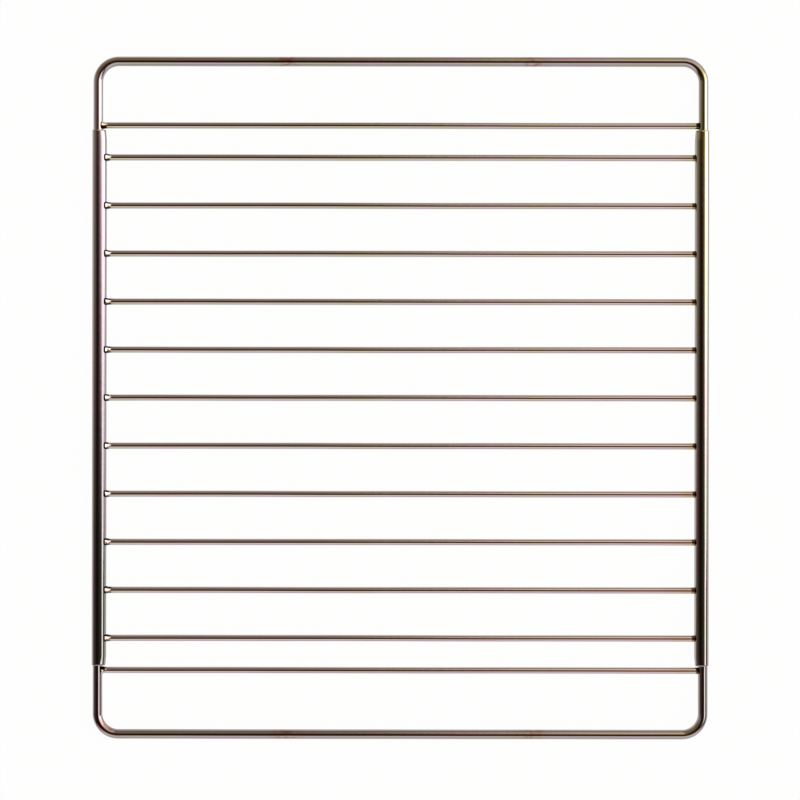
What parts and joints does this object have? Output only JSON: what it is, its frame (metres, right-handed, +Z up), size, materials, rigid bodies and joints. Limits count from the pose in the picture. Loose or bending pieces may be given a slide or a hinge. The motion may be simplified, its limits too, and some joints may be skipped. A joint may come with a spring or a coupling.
{
  "type": "oven shelf rack",
  "caption": "Flat oven shelf rack: a rounded rectangular frame of thick chromed wire with oval sleeves along both sides and thinner cross bars welded between them.",
  "frame": {"origin": "centre of the rack on the plane it rests on, at the underside of the side sleeves", "axes": "+X along the cross bars to the right, +Y along the side sleeves to the rear, +Z up"},
  "size_m": [0.3854, 0.426, 0.0074],
  "materials": {
    "frame_wire_chrome": "polished",
    "sleeve_chrome": "polished",
    "bar_chrome": "polished"
  },
  "bodies": {
    "root": {"frame_wire": "frame_wire_chrome", "left_side_sleeve": "sleeve_chrome", "right_side_sleeve": "sleeve_chrome", "front_end_bar": "bar_chrome", "rear_end_bar": "bar_chrome", "grid_bar_01": "bar_chrome", "grid_bar_02": "bar_chrome", "grid_bar_03": "bar_chrome", "grid_bar_04": "bar_chrome", "grid_bar_05": "bar_chrome", "grid_bar_06": "bar_chrome", "grid_bar_07": "bar_chrome", "grid_bar_08": "bar_chrome", "grid_bar_09": "bar_chrome", "grid_bar_10": "bar_chrome", "grid_bar_11": "bar_chrome"}
  },
  "joints": []
}
